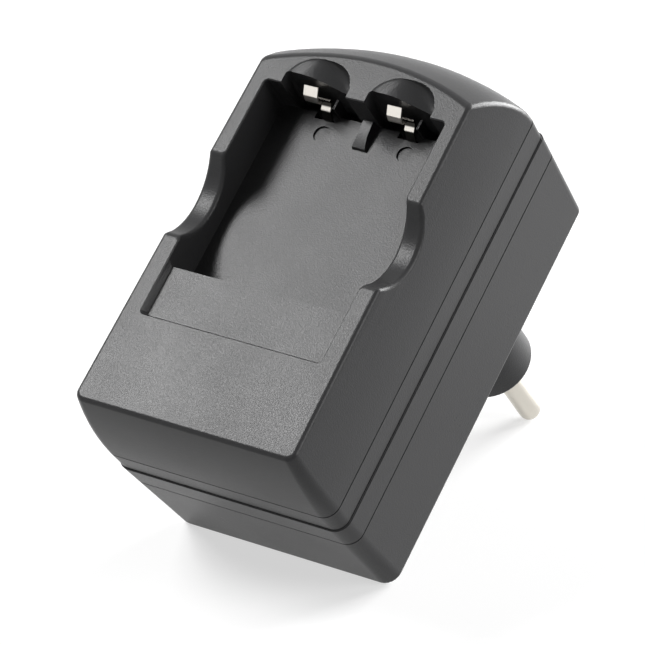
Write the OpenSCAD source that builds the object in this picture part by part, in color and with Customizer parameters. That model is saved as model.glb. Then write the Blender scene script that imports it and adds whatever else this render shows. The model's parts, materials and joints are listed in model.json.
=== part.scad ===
// Plug-in battery charger, resting on the lower rear edge of its case and on the tips of its pins.
// Each piece is modelled in the case's own axes: X across, Y from the lower end to the contact end,
// Z out of the front face, with Z = 0 on the flat rear face. placed() then tips the whole to its rest.

/* [Case] */
// Width of the case at its lower end, where it is widest
case_w = 47.8; // [44:0.2:60]
// How much narrower the case is at its contact end
case_taper = 1.4; // [0:0.2:3]
// Length of the case's straight sides
case_l = 79.1; // [76:0.1:95]
// Rise of the arched contact end above the straight sides
arch_rise = 4.2; // [2.5:0.1:8]
// Depth of the front cover, from the parting line to the front face
cover_d = 21.5; // [20:0.25:30]
// Depth of the rear housing, from the rear face to the parting line
housing_d = 23.4; // [20:0.2:40]
// Wall thickness of both halves
wall = 2; // [1.6:0.1:2.6]
// Corner radius of the lower end, at the parting line
lower_r = 2.8; // [2:0.2:6]
// Corner radius where the sides meet the arched end
upper_r = 1.4; // [1:0.1:3]
// Rounding of the front face's edge
front_fillet = 0.7; // [0.3:0.1:1.2]
// Rounding of the rear face's edge
rear_fillet = 1; // [0.4:0.1:1.8]

/* [Cover shape] */
// Height of the straight band between the parting line and the flared part
band_h = 4.9; // [3:0.1:7]
// How far each side draws in at the front, at the lower end
side_draw = 1.4; // [0.5:0.1:3]
// How far the lower end draws in at the front
lower_draw = 2; // [0.5:0.1:4]
// How far the contact end draws in at the front
upper_draw = 8.2; // [4:0.1:10]
// How far the band draws in towards the parting line
band_draw = 0.25; // [0:0.05:0.5]
// Depth of the fine styling grooves
groove = 0.35; // [0.2:0.05:0.6]
// Width of the fine styling grooves
groove_w = 0.3; // [0.2:0.05:0.6]
// Depth and half width of the gap along the parting line
seam = 0.2; // [0.1:0.05:0.4]
// Distance of the rear groove behind the parting line
rear_groove_at = 5.6; // [3:0.1:12]
// How far the housing's walls draw in towards the rear face
rear_draw = 1.4; // [0.4:0.1:3]

/* [Battery bay] */
// Width of the bay
bay_w = 37; // [34:0.2:38]
// Length of the bay
bay_l = 37.3; // [32:0.1:38]
// Depth of the bay below the front face
bay_d = 8.2; // [6:0.1:9]
// Distance of the bay's upper wall from the lower end of the case
bay_top_y = 67.1; // [66:0.1:70]
// Thickness of the bay's floor and walls
bay_wall = 1.6; // [1.2:0.1:2]
// Length of the shallow rebate below the bay
rebate_l = 10.1; // [6:0.1:14]
// Depth of the shallow rebate
rebate_d = 1.4; // [0.6:0.1:2]
// Radius of the finger notches in the side walls
notch_r = 9.6; // [7:0.1:11]
// Depth of the finger notches
notch_d = 4.5; // [3:0.1:5.5]
// Distance of the notches' middle below the bay's upper wall
notch_down = 23.9; // [18:0.1:26]

/* [Contacts] */
// Distance of each contact pocket's middle from the centre line
pocket_x = 8.6; // [8.3:0.1:9]
// Width of each contact pocket
pocket_w = 13.4; // [11:0.1:14]
// How far the pockets reach beyond the bay's upper wall, at the front face
pocket_reach = 2.5; // [2.4:0.1:3.4]
// Radius of the scoop over each pocket
scoop_r = 6.7; // [6:0.1:7.2]
// Slope of the scoop's floor, which falls to the right
scoop_slope = 0.5; // [0.2:0.05:0.6]
// Width of each spring leaf
leaf_w = 2.85; // [2:0.05:3.6]
// Thickness of each spring leaf
leaf_t = 0.3; // [0.2:0.05:0.4]
// Sideways offset of both springs from their pockets' middles
leaf_shift = -1.55; // [-1.8:0.05:1.8]

/* [Plug] */
// Distance between the pins' axes
pin_spacing = 19; // [17:0.1:20]
// Radius of each pin
pin_r = 2; // [1.9:0.05:2.4]
// Length of each pin beyond the boss
pin_l = 19; // [16:0.1:20]
// Distance of the plug from the lower end of the case
plug_y = 53.2; // [46:0.1:58]
// Length of the oblong boss across the case
boss_w = 32.6; // [30:0.1:36]
// Thickness of the oblong boss
boss_t = 14.8; // [13.7:0.1:16]
// Height of the boss behind the rear face
boss_h = 17.4; // [14:0.1:20]

/* [Inside] */
// Gap between the bay floor's underside and the circuit board
board_gap = 3.4; // [2.4:0.1:4]
// Thickness of the circuit board
board_t = 1.6; // [1:0.1:2]
// Radius of the case screws' shanks
screw_r = 1.1; // [1:0.05:1.3]
// Clearance between pieces that slide past one another
fit_gap = 0.15; // [0.1:0.05:0.25]

/* [Hidden] */
$fn = 48;
eps = 0.01;

body_d = housing_d + cover_d;
band_z = housing_d + band_h;
half_w = case_w / 2;
half_top = half_w - case_taper / 2;
corner_steps = 6;
arch_steps = 18;
fillet_steps = 4;
// The sides draw in this much more at the contact end than at the lower end
upper_share = 1.25;

bay_floor_z = body_d - bay_d;
bay_low_y = bay_top_y - bay_l;
bay_under_z = bay_floor_z - bay_wall;
rebate_low_y = bay_low_y - rebate_l;
notch_y = bay_top_y - notch_down;

board_front_z = bay_under_z - board_gap;
board_rear_z = board_front_z - board_t;
board_half_w = half_top - wall - 1.1;
board_low_y = wall + 1.4;
board_top_y = case_l - wall - 1.6;

pocket_draft = 0.8;
pit_d = 2.6;
leaf_back_y = bay_top_y + 1.2;
// Right edge of each spring's tail, from its pocket's middle
tail_right = 1.1;
post_r = 3;
post_head_z = housing_d - 4;
post_x = half_top - wall - post_r - 0.55;
post_low_y = wall + lower_r + 3.2;
post_high_y = case_l - 6.6;
post_places = [for (sx = [-1, 1], y = [post_low_y, post_high_y]) [sx * post_x, y]];
screw_reach = 6;
screw_head_r = 2.1;
screw_head_h = 1.7;
thread_gap = 0.02;
web_t = 1.2;

boss_end = 4;
seat_step = 0.2;
pin_gap = 0.03;
stub_gap = 0.05;
collar_r = pin_r + 1.2;
collar_h = 1.5;
stub_r = 1.4;
retainer_t = 2.5;
inner_end_z = -boss_h + boss_end;
retainer_z = inner_end_z + collar_h;
strap_t = 0.5;
strap_w = 4;
strap_z = retainer_z + retainer_t;
strap_y = plug_y + boss_t / 2 - wall - 1.4;

core_y = 29;
core_w = 17;
core_l = 14;
core_h = 12;
core_drop = 4.5;
core_side = 2.4;
core_end = 2.6;
limb = 4;
core_z = board_rear_z - core_drop - core_h / 2;
bobbin_t = 0.8;
bobbin_w = core_w - 2 * core_side - 2 * fit_gap;
bobbin_l = core_l - 2 * core_end - 2 * fit_gap;
coil_r = 5.3;
coil_gap = 0.05;

column_x = board_half_w - 6;
input_can_r = 4.8;
input_can_h = 17;
output_can_r = 4;
output_can_h = 12;
fuse_r = 2.4;
fuse_l = 9.2;
cap_l = 2;
choke_r = 4;
choke_h = 8;
disc_r = 4.5;
disc_t = 3;
rectifier_size = [6.5, 8, 2.6];
switch_size = [6.4, 9.6, 3.4];
coupler_size = [6.4, 4.6, 3.5];
diode_size = [5, 7, 2.4];
controller_size = [6, 5, 1.5];

// Tilt at which the lower rear edge and the pins' tips both touch the ground
rear_low_y = rear_draw + 0.3;
span_y = plug_y - rear_low_y - rear_fillet;
span_z = boss_h + pin_l - pin_r + rear_fillet;
tilt = atan2(span_z, span_y) + asin((pin_r - rear_fillet) / norm([span_y, span_z]));
rest_drop = (rear_low_y + rear_fillet) * sin(tilt) + rear_fillet * cos(tilt) - rear_fillet;
rear_top_y = case_l + arch_rise - rear_draw + 0.1 - rear_fillet;
back_y = rear_top_y * cos(tilt) - rear_fillet * sin(tilt) + rear_fillet;
front_y = (lower_draw + front_fillet) * cos(tilt) - (body_d - front_fillet) * sin(tilt) - front_fillet;
rest_y = (back_y + front_y) / 2;

cover_colour = [0.27, 0.27, 0.275];
housing_colour = [0.25, 0.25, 0.255];
nickel = [0.78, 0.76, 0.72];
brass = [0.80, 0.68, 0.40];
board_colour = [0.12, 0.36, 0.20];

// Tips a piece from the case's axes to its rest on the ground, centred over the origin
module placed() {
    translate([0, -rest_y, -rest_drop]) rotate([tilt, 0, 0]) children();
}

// Points of an arc about a centre, from one angle to another
function arc(centre, r, from, to, steps) =
    [for (i = [0:steps]) let (a = from + (to - from) * i / steps) centre + r * [cos(a), sin(a)]];

function mirrored(points) = [for (i = [len(points) - 1:-1:0]) [-points[i][0], points[i][1]]];

// Case outline: straight lower end, slightly tapered sides and an arched contact end
function case_outline(low_w, top_w, low_y, side_y, low_r, top_r) =
    let (
        arch_r = (top_w * top_w + arch_rise * arch_rise) / (2 * arch_rise),
        arch_y = side_y + arch_rise - arch_r,
        corner_x = top_w - top_r,
        corner_y = arch_y + sqrt(pow(arch_r - top_r, 2) - corner_x * corner_x),
        turn = atan2(corner_y - arch_y, corner_x),
        right = concat(
            arc([low_w - low_r, low_y + low_r], low_r, -90, 0, corner_steps),
            arc([corner_x, corner_y], top_r, 0, turn, corner_steps)
        ),
        crown = arc([0, arch_y], arch_r, turn, 180 - turn, arch_steps),
        middle = [for (i = [1:arch_steps - 1]) crown[i]]
    )
    concat(right, middle, mirrored(right));

// Outline of the cover at height z, drawn in by inset all round
function cover_outline(z, inset) =
    let (
        rise = max(0, z - band_z) / (body_d - band_z),
        draw = rise * rise,
        inset = inset + band_draw * max(0, band_z - z) / band_h
    )
    case_outline(
        half_w - side_draw * draw - inset,
        half_top - side_draw * upper_share * draw - inset,
        lower_draw * draw + inset,
        case_l - upper_draw * draw - inset,
        max(lower_r - rise - inset, 0.5),
        max(upper_r - inset, 0.4)
    );

// Outline of the housing at height z, drawn in by inset all round
function housing_outline(z, inset) =
    let (back = 1 - z / housing_d)
    case_outline(
        half_w - (rear_draw - 0.4) * back - inset,
        half_top - (rear_draw - 0.4) * back - inset,
        (rear_draw + 0.3) * back + inset,
        case_l - (rear_draw - 0.1) * back - inset,
        max(lower_r - inset, 0.5),
        max(upper_r - inset, 0.4)
    );

function ring(outline, z) = [for (p = outline) [p[0], p[1], z]];

// Solid through a stack of rings that all have the same number of points
module loft(rings) {
    n = len(rings[0]);
    last = (len(rings) - 1) * n;
    sides = [
        for (k = [0:len(rings) - 2], j = [0:n - 1])
        let (a = k * n + j, b = k * n + (j + 1) % n)
        each [[a, a + n, b], [b, a + n, b + n]]
    ];
    caps = [[for (j = [0:n - 1]) j], [for (j = [n - 1:-1:0]) last + j]];
    polyhedron(points = [for (r = rings) each r], faces = concat(caps, sides), convexity = 8);
}

// Rings of a fine V groove round the outline at height z
function groove_rings(z, depth) = [[z - groove_w / 2, 0], [z, depth], [z + groove_w / 2, 0]];

module cover_shape() {
    flare_steps = 7;
    flare_top = body_d - front_fillet;
    flare_from = band_z + groove_w / 2;
    levels = concat(
        [[housing_d, seam], [housing_d + seam * 0.7, seam * 0.8], [housing_d + seam, 0]],
        groove_rings(band_z, groove),
        [for (i = [1:flare_steps]) [flare_from + (flare_top - flare_from) * i / flare_steps, 0]],
        [
            for (i = [1:fillet_steps])
            let (a = 90 * i / fillet_steps)
            [flare_top + front_fillet * sin(a), front_fillet * (1 - cos(a))]
        ]
    );
    loft([for (level = levels) ring(cover_outline(level[0], level[1]), level[0])]);
}

module housing_shape() {
    groove_z = housing_d - rear_groove_at;
    levels = concat(
        [
            for (i = [fillet_steps:-1:1])
            let (a = 90 * i / fillet_steps)
            [rear_fillet * (1 - sin(a)), rear_fillet * (1 - cos(a))]
        ],
        [[rear_fillet, 0]],
        groove_rings(groove_z, groove),
        [[housing_d - seam, 0], [housing_d - seam * 0.7, seam * 0.8], [housing_d, seam]]
    );
    loft([for (level = levels) ring(housing_outline(level[0], level[1]), level[0])]);
}

module cover_cavity() {
    steps = 5;
    from = housing_d - 1;
    to = body_d - wall;
    levels = [for (i = [0:steps]) from + (to - from) * i / steps];
    loft([for (z = levels) ring(cover_outline(max(z, housing_d), wall), z)]);
}

module housing_cavity() {
    loft([for (z = [wall, housing_d / 2, housing_d + 1]) ring(housing_outline(min(z, housing_d), wall), z)]);
}

// Upright block with rounded vertical corners between two corner points
module rounded_block(low, high, r) {
    hull()
        for (x = [low[0] + r, high[0] - r], y = [low[1] + r, high[1] - r])
            translate([x, y, low[2]]) cylinder(r = r, h = high[2] - low[2], $fn = 24);
}

// Bay, widened by a small chamfer at the front face
module bay_cut() {
    edge = 0.2;
    corner = 0.8;
    over = pocket_reach;
    rounded_block([-bay_w / 2, bay_low_y, bay_floor_z], [bay_w / 2, bay_top_y, body_d + 1], corner);
    hull() {
        rounded_block(
            [-bay_w / 2, rebate_low_y, body_d - edge],
            [bay_w / 2, bay_top_y, body_d - edge + eps],
            corner
        );
        translate([0, 0, edge])
            rounded_block(
                [-bay_w / 2 - edge, rebate_low_y - edge, body_d - edge],
                [bay_w / 2 + edge, bay_top_y + edge, body_d + eps],
                corner + edge
            );
    }
    hull() {
        lean = 0.5;
        rounded_block(
            [-bay_w / 2 + lean, rebate_low_y + lean, body_d - rebate_d],
            [bay_w / 2 - lean, bay_low_y + over, body_d - rebate_d + eps],
            corner
        );
        rounded_block(
            [-bay_w / 2, rebate_low_y, body_d - edge],
            [bay_w / 2, bay_low_y + over, body_d],
            corner
        );
    }
}

// Profile of a finger notch along Y, with a rounded lip at each end, grown by extra
function notch_profile(extra) =
    let (
        lip = 1.6,
        r = notch_r + extra,
        sink = notch_r - notch_d,
        reach = sqrt(pow(r + lip, 2) - pow(sink + lip, 2)),
        turn = acos((sink + lip) / (r + lip)),
        lip_steps = 4,
        bowl_steps = 16
    )
    concat(
        [[-reach, 2]],
        arc([-reach, -lip], lip, 90, 90 - turn, lip_steps),
        [
            for (i = [1:bowl_steps - 1])
            let (a = turn - 2 * turn * i / bowl_steps)
            [-r * sin(a), sink - r * cos(a)]
        ],
        arc([reach, -lip], lip, 90 + turn, 90, lip_steps),
        [[reach, 2]]
    );

// Half width of the cover's outside at a place along it and a height
function side_at(y, z) =
    let (
        along = y / case_l,
        rise = max(0, min(z, body_d) - band_z) / (body_d - band_z)
    )
    half_w + (half_top - half_w) * along - side_draw * (1 + (upper_share - 1) * along) * rise * rise;

// Finger notch through one side wall, rounded over towards the bay and towards the outside
module notch_cut(side) {
    edge_r = 0.8;
    round_steps = 4;
    turns = [for (i = [0:round_steps]) 90 * i / round_steps];
    inner = concat(
        [[-1, edge_r]],
        [for (a = turns) [edge_r * (1 - cos(a)), edge_r * (1 - sin(a))]]
    );
    outer = concat(
        [for (a = turns) [-edge_r * (1 - sin(a)), edge_r * (1 - cos(a))]],
        [[3, edge_r]]
    );
    rings = concat(
        [
            for (s = inner)
            [for (p = notch_profile(s[1])) [bay_w / 2 + s[0], notch_y + p[0], body_d + p[1]]]
        ],
        [
            for (s = outer)
            [
                for (p = notch_profile(s[1]))
                [side_at(notch_y + p[0], body_d + p[1]) + s[0], notch_y + p[0], body_d + p[1]]
            ]
        ]
    );
    mirror([side < 0 ? 1 : 0, 0, 0]) loft(rings);
}

// Solid web under a finger notch, which joins the bay's wall to the side wall
module notch_web(side) {
    over = notch_r + 2;
    deep = notch_d + bay_wall;
    translate([side * (bay_w + bay_wall) / 2 + (side < 0 ? -bay_wall * 3 : 0), notch_y - over, body_d - deep])
        cube([bay_wall * 3, 2 * over, deep]);
}

// Depth of the scoop's floor at a distance to the right of its middle
function scoop_depth(across) =
    let (u = across + 1.8)
    0.13 + scoop_slope * (u + sqrt(u * u + 1.5)) / 2;

// Point of the scoop's outline, which is a slightly squared round
function scoop_point(a, r) =
    let (k = 2.4, reach = r / pow(pow(abs(cos(a)), k) + pow(abs(sin(a)) * 1.08, k), 1 / k))
    reach * [cos(a), sin(a)];

// Scoop over a contact pocket, shallow at its left and steep walled at its right
module scoop(x, grow, top_z) {
    steps = 5;
    points = 40;
    flat = 0.68;
    turns = [for (j = [points - 1:-1:0]) 360 * j / points];
    levels = concat(
        [for (i = [0:steps]) let (a = 90 * i / steps) [flat + (1 - flat) * cos(a), sin(a)]],
        [[flat / 2, 1], [0.02, 1]]
    );
    translate([x, bay_top_y - 0.1, 0])
        loft(concat(
            [[for (a = turns) let (p = scoop_point(a, scoop_r + grow)) [p[0], p[1], top_z]]],
            [
                for (level = levels)
                [
                    for (a = turns)
                    let (p = scoop_point(a, level[0] * (scoop_r + grow)))
                    [p[0], p[1], body_d - grow - scoop_depth(p[0]) * level[1]]
                ]
            ]
        ));
}

// Contact pocket beyond the bay's upper wall: a drafted well under the scoop, with a pit below the floor
module pocket_cut(x) {
    corner = 0.8;
    left = x - pocket_w / 2;
    right = x + pocket_w / 2;
    floor_y = bay_top_y + pocket_reach - pocket_draft;
    hull() {
        rounded_block([left, bay_top_y - 3, bay_floor_z], [right, floor_y, bay_floor_z + eps], corner);
        rounded_block([left, bay_top_y - 3, body_d], [right, bay_top_y + pocket_reach, body_d + 1], corner);
    }
    rounded_block([left, bay_top_y, bay_floor_z - pit_d], [right, floor_y, bay_floor_z + 1], 0.3);
    scoop(x, 0, body_d + 1);
}

// Walls that close a pocket and its pit
module pocket_backing(x) {
    left = x - pocket_w / 2 - bay_wall;
    right = x + pocket_w / 2 + bay_wall;
    rounded_block(
        [left, bay_top_y - bay_wall, bay_under_z - pit_d],
        [right, bay_top_y + pocket_reach + bay_wall, body_d],
        1.5
    );
    scoop(x, bay_wall, body_d);
}

// Slot in the bay floor that a spring's tail passes through
module spring_slot(x) {
    low_y = bay_top_y - 1.15;
    translate([x + leaf_shift - leaf_w / 2 + 0.1, low_y, bay_under_z - pit_d - 1])
        cube([tail_right - leaf_shift + leaf_w / 2 + 0.1, bay_top_y - low_y + eps, pit_d + bay_wall + 1.5]);
}

// Thin rib that guides a spring from its right
module spring_guide(x) {
    guide_t = 0.45;
    translate([x + tail_right + 0.55, bay_top_y - 0.1, bay_floor_z - pit_d - eps])
        cube([guide_t, pocket_reach - pocket_draft + 0.2, pit_d + 2.9]);
}

// One level of the key rib, between the bay's upper wall and its own lower end
module rib_slice(w, l, z) {
    translate([-w / 2, -l, z]) cube([w, l + eps, eps]);
}

// Key rib that stops a battery going in the wrong way round
module key_rib() {
    rib_w = 2.9;
    rib_l = 5.2;
    rise = 1.7;
    translate([0, bay_top_y, bay_floor_z])
        hull() {
            rib_slice(rib_w, rib_l, -eps);
            rib_slice(rib_w - 0.3, rib_l - 0.2, rise * 0.35);
            rib_slice(rib_w - 0.9, rib_l * 0.56, rise * 0.78);
            rib_slice(rib_w - 0.9, 0.3, rise);
        }
}

// Round mark that an ejector pin left in the bay's floor
module ejector_mark(x) {
    mark_r = 1.57;
    mark_d = 0.35;
    translate([x + 0.1, bay_top_y - 3.8, bay_floor_z - mark_d]) cylinder(r = mark_r, h = 1);
}

// Web from a screw post to the nearest side wall
module post_web(place, reach, from_z, to_z) {
    side = sign(place[0]);
    hull()
        for (across = [0, side * reach])
            translate([place[0] + across, place[1] - web_t / 2, from_z]) cube([0.1, web_t, to_z - from_z]);
}

module cover_post(place, top_z) {
    translate([place[0], place[1], board_front_z]) cylinder(r = post_r, h = top_z - board_front_z);
    post_web(place, post_r + 1.5, board_front_z + 2, top_z);
}

module front_cover() color(cover_colour) placed() {
    difference() {
        union() {
            difference() {
                cover_shape();
                cover_cavity();
            }
            intersection() {
                cover_shape();
                union() {
                    rounded_block(
                        [-bay_w / 2 - bay_wall, bay_low_y - bay_wall, bay_under_z],
                        [bay_w / 2 + bay_wall, bay_top_y + bay_wall, body_d],
                        1.5
                    );
                    for (side = [-1, 1]) {
                        pocket_backing(side * pocket_x);
                        notch_web(side);
                    }
                    for (place = post_places)
                        cover_post(place, place[1] > case_l / 2 ? body_d - bay_d : body_d - wall);
                }
            }
        }
        bay_cut();
        for (side = [-1, 1]) {
            notch_cut(side);
            pocket_cut(side * pocket_x);
            spring_slot(side * pocket_x);
            ejector_mark(side * pocket_x);
        }
        for (place = post_places)
            translate([place[0], place[1], board_front_z - 1])
                cylinder(r = screw_r + thread_gap, h = screw_reach + 1.5);
    }
    key_rib();
    for (side = [-1, 1]) spring_guide(side * pocket_x);
}

// Oblong with round ends across the case, between two heights
module oblong(w, t, z0, z1) {
    hull()
        for (side = [-1, 1])
            translate([side * (w - t) / 2, plug_y, z0]) cylinder(d = t, h = z1 - z0);
}

module boss_shape() {
    edge = 0.6;
    oblong(boss_w, boss_t, -boss_h + edge, wall);
    hull()
        for (i = [0:3]) {
            a = 90 * i / 3;
            shrink = edge * (1 - cos(a));
            low_z = -boss_h + edge * (1 - sin(a));
            oblong(boss_w - 2 * shrink, boss_t - 2 * shrink, low_z, -boss_h + edge + eps);
        }
}

// Locating lip inside the parting line, which enters the front cover
module seam_lip() {
    lip_t = 1.1;
    lip_h = 1.6;
    difference() {
        loft([
            for (z = [housing_d - 2.5, housing_d + lip_h]) ring(cover_outline(housing_d, wall + fit_gap), z)
        ]);
        loft([
            for (z = [housing_d - 3, housing_d + lip_h + 1])
                ring(cover_outline(housing_d, wall + fit_gap + lip_t), z)
        ]);
    }
}

module housing_post(place) {
    translate([place[0], place[1], wall - eps]) cylinder(r = post_r, h = board_rear_z - wall + eps);
    post_web(place, post_r + 0.9, wall - eps, housing_d - 4);
}

module rear_housing() color(housing_colour) placed() {
    difference() {
        union() {
            difference() {
                housing_shape();
                housing_cavity();
            }
            seam_lip();
            boss_shape();
            for (place = post_places) housing_post(place);
        }
        oblong(boss_w - 2 * wall, boss_t - 2 * wall, inner_end_z, wall + 1);
        for (side = [-1, 1])
            translate([side * pin_spacing / 2, plug_y, -boss_h - 1])
                cylinder(r = pin_r + seat_step + pin_gap, h = boss_end + 2);
        for (place = post_places) {
            translate([place[0], place[1], -1]) cylinder(r = screw_head_r + 0.2, h = post_head_z + 1);
            translate([place[0], place[1], 0]) cylinder(r = screw_r + 0.2, h = board_rear_z + 1);
        }
    }
}

// Turned pin with a domed tip, a collar inside the boss and a stub for its strap
module plug_pin(side) color(nickel) placed() {
    tip_z = -boss_h - pin_l;
    collar_z = inner_end_z;
    seat_r = pin_r + seat_step;
    translate([side * pin_spacing / 2, plug_y, 0])
        rotate_extrude($fn = 64)
            polygon(concat(
                [[0, strap_z + strap_t + 0.6], [0, tip_z]],
                [for (i = [1:8]) let (a = 90 * i / 8) [pin_r * sin(a), tip_z + pin_r * (1 - cos(a))]],
                [
                    [pin_r, -boss_h - seat_step],
                    [seat_r, -boss_h],
                    [seat_r, collar_z],
                    [collar_r, collar_z],
                    [collar_r, collar_z + collar_h],
                    [stub_r, collar_z + collar_h],
                    [stub_r, strap_z + strap_t + 0.6]
                ]
            ));
}

module plug_pin_left() plug_pin(-1);

module plug_pin_right() plug_pin(1);

module pin_retainer() color([0.86, 0.84, 0.78]) placed() {
    w = boss_w - 2 * wall - 2 * fit_gap;
    t = boss_t - 2 * wall - 2 * fit_gap;
    difference() {
        union() {
            translate([-(w - t) / 2, plug_y - t / 2, retainer_z]) cube([w - t, t, retainer_t]);
            for (side = [-1, 1])
                translate([side * (w - t) / 2, plug_y, retainer_z]) cylinder(d = t, h = retainer_t);
        }
        for (side = [-1, 1])
            translate([side * pin_spacing / 2, plug_y, retainer_z - 1])
                cylinder(r = stub_r + stub_gap, h = retainer_t + 2);
    }
}

// Brass strip from a pin's stub up to the circuit board
module pin_strap(side) color(brass) placed() {
    x = side * pin_spacing / 2 - strap_w / 2;
    difference() {
        translate([x, plug_y - strap_w / 2, strap_z])
            cube([strap_w, strap_y - plug_y + strap_w / 2, strap_t]);
        translate([side * pin_spacing / 2, plug_y, strap_z - 1])
            cylinder(r = stub_r + stub_gap, h = strap_t + 2);
    }
    translate([x, strap_y - strap_t, strap_z]) cube([strap_w, strap_t, board_rear_z - strap_z]);
}

module pin_strap_left() pin_strap(-1);

module pin_strap_right() pin_strap(1);

function unit(v) = v / norm(v);

// Outline of a bent strip of thickness t that follows a path of points
function strip(path, t) =
    let (
        last = len(path) - 1,
        normals = [
            for (i = [0:last])
            let (d = unit(unit(path[min(i + 1, last)] - path[i] + [eps, 0] * (i == last ? 1 : 0))
                + unit(path[i] - path[max(i - 1, 0)] + [eps, 0] * (i == 0 ? 1 : 0))))
            [-d[1], d[0]]
        ]
    )
    concat(
        [for (i = [0:last]) path[i] + normals[i] * t / 2],
        [for (i = [last:-1:0]) path[i] - normals[i] * t / 2]
    );

// Leaf spring: a foot on the board, a narrow tail, a shoulder and a wide leaf with a knee
module contact_spring(side) color(nickel) placed() {
    foot_z = board_front_z + leaf_t / 2;
    tail_y = bay_top_y - 0.9;
    tail_w = 1.9;
    shoulder_z = bay_floor_z + 2.9;
    shoulder_h = 0.9;
    knee_y = bay_top_y - 0.13;
    knee_z = body_d - 3.7;
    tail = [
        [tail_y - 2.4, foot_z],
        [tail_y - 0.4, foot_z],
        [tail_y, foot_z + 0.4],
        [tail_y, bay_floor_z + 0.2],
        [tail_y + 0.7, bay_floor_z + 1.95],
        [tail_y + 1.1, bay_floor_z + 2.15],
        [leaf_back_y - 0.15, shoulder_z - 0.1],
        [leaf_back_y, shoulder_z + shoulder_h / 2]
    ];
    shoulder = [[leaf_back_y, shoulder_z], [leaf_back_y, shoulder_z + shoulder_h]];
    leaf = [
        [leaf_back_y, shoulder_z + shoulder_h / 2],
        [leaf_back_y - 0.15, shoulder_z + shoulder_h],
        [knee_y + 0.4, knee_z - 0.35],
        [knee_y, knee_z],
        [knee_y + 0.05, knee_z + 0.35],
        [knee_y + 0.35, knee_z + 1.2],
        [knee_y + 1.65, knee_z + 2.25]
    ];
    leaf_left = leaf_shift - leaf_w / 2;
    translate([side * pocket_x, 0, 0]) rotate([90, 0, 90]) {
        translate([0, 0, leaf_left]) linear_extrude(leaf_w) polygon(strip(leaf, leaf_t));
        translate([0, 0, leaf_left]) linear_extrude(tail_right - leaf_left) polygon(strip(shoulder, leaf_t));
        translate([0, 0, tail_right - tail_w]) linear_extrude(tail_w) polygon(strip(tail, leaf_t));
    }
}

module contact_spring_left() contact_spring(-1);

module contact_spring_right() contact_spring(1);

module circuit_board() color(board_colour) placed() {
    difference() {
        translate([-board_half_w, board_low_y, board_rear_z])
            cube([2 * board_half_w, board_top_y - board_low_y, board_t]);
        for (place = post_places)
            translate([place[0], place[1], board_rear_z - 1]) cylinder(r = screw_r + 0.25, h = board_t + 2);
    }
}

// Two E shaped ferrites round a middle limb along Y
module transformer_core() color([0.22, 0.22, 0.24]) placed() {
    translate([0, core_y, core_z]) {
        difference() {
            cube([core_w, core_l, core_h], center = true);
            cube([core_w - 2 * core_side, core_l - 2 * core_end, core_h + 1], center = true);
        }
        cube([limb, core_l - core_end, limb], center = true);
    }
}

// Bobbin on the core's middle limb, whose flanges stand on the board
module transformer_bobbin() color([0.12, 0.12, 0.13]) placed() {
    flange_h = core_h - 0.4;
    sleeve = limb + 2 * bobbin_t;
    translate([0, core_y, core_z]) {
        difference() {
            union() {
                cube([sleeve, bobbin_l, sleeve], center = true);
                for (side = [-1, 1])
                    translate([0, side * (bobbin_l - bobbin_t) / 2, 0])
                        cube([bobbin_w, bobbin_t, flange_h], center = true);
            }
            cube([limb + 2 * fit_gap, bobbin_l + 2, limb + 2 * fit_gap], center = true);
        }
        for (side = [-1, 1])
            translate([-bobbin_w / 2, side * (bobbin_l - bobbin_t) / 2 - bobbin_t / 2, flange_h / 2 - eps])
                cube([bobbin_w, bobbin_t, core_h / 2 + core_drop - flange_h / 2 + eps]);
    }
}

module transformer_winding() color([0.72, 0.36, 0.12]) placed() {
    hole = limb + 2 * (bobbin_t + coil_gap);
    translate([0, core_y, core_z])
        difference() {
            rotate([90, 0, 0]) cylinder(r = coil_r, h = bobbin_l - 2 * (bobbin_t + coil_gap), center = true);
            cube([hole, core_l, hole], center = true);
        }
}

// Electrolytic can standing on the board's rear side, with its crimped sleeve edge
module can(x, y, r, h) {
    crimp = 0.4;
    low = 4 * crimp;
    translate([x, y, board_rear_z])
        rotate([180, 0, 0])
            rotate_extrude($fn = 64)
                polygon([
                    [0, 0],
                    [r, 0],
                    [r, low],
                    [r - crimp, low + crimp],
                    [r - crimp, low + 2.5 * crimp],
                    [r, low + 3.5 * crimp],
                    [r, h - crimp],
                    [r - crimp, h],
                    [0, h]
                ]);
}

module input_capacitor() color([0.16, 0.2, 0.42]) placed()
    can(-column_x, core_y - 8, input_can_r, input_can_h);

// It stands just below the right upper screw post
module output_capacitor() color([0.14, 0.14, 0.16]) placed()
    can(column_x, post_high_y - post_r - output_can_r - 1.3, output_can_r, output_can_h);

// Flat moulded component that stands against the board's rear side
module block(x, y, size) {
    translate([x - size[0] / 2, y - size[1] / 2, board_rear_z - size[2]]) cube(size);
}

module bridge_rectifier() color([0.1, 0.1, 0.1]) placed()
    block(-column_x, core_y + 10, rectifier_size);

// Ceramic tube between two pressed caps
module mains_fuse() color([0.85, 0.85, 0.8]) placed() {
    tube_r = fuse_r - 0.3;
    translate([-(board_half_w - fuse_r - 2.7), plug_y - 2, board_rear_z - fuse_r])
        rotate([90, 0, 0]) {
            cylinder(r = tube_r, h = fuse_l - cap_l, center = true);
            for (side = [-1, 1])
                translate([0, 0, side * (fuse_l - cap_l) / 2]) cylinder(r = fuse_r, h = cap_l, center = true);
        }
}

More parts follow.
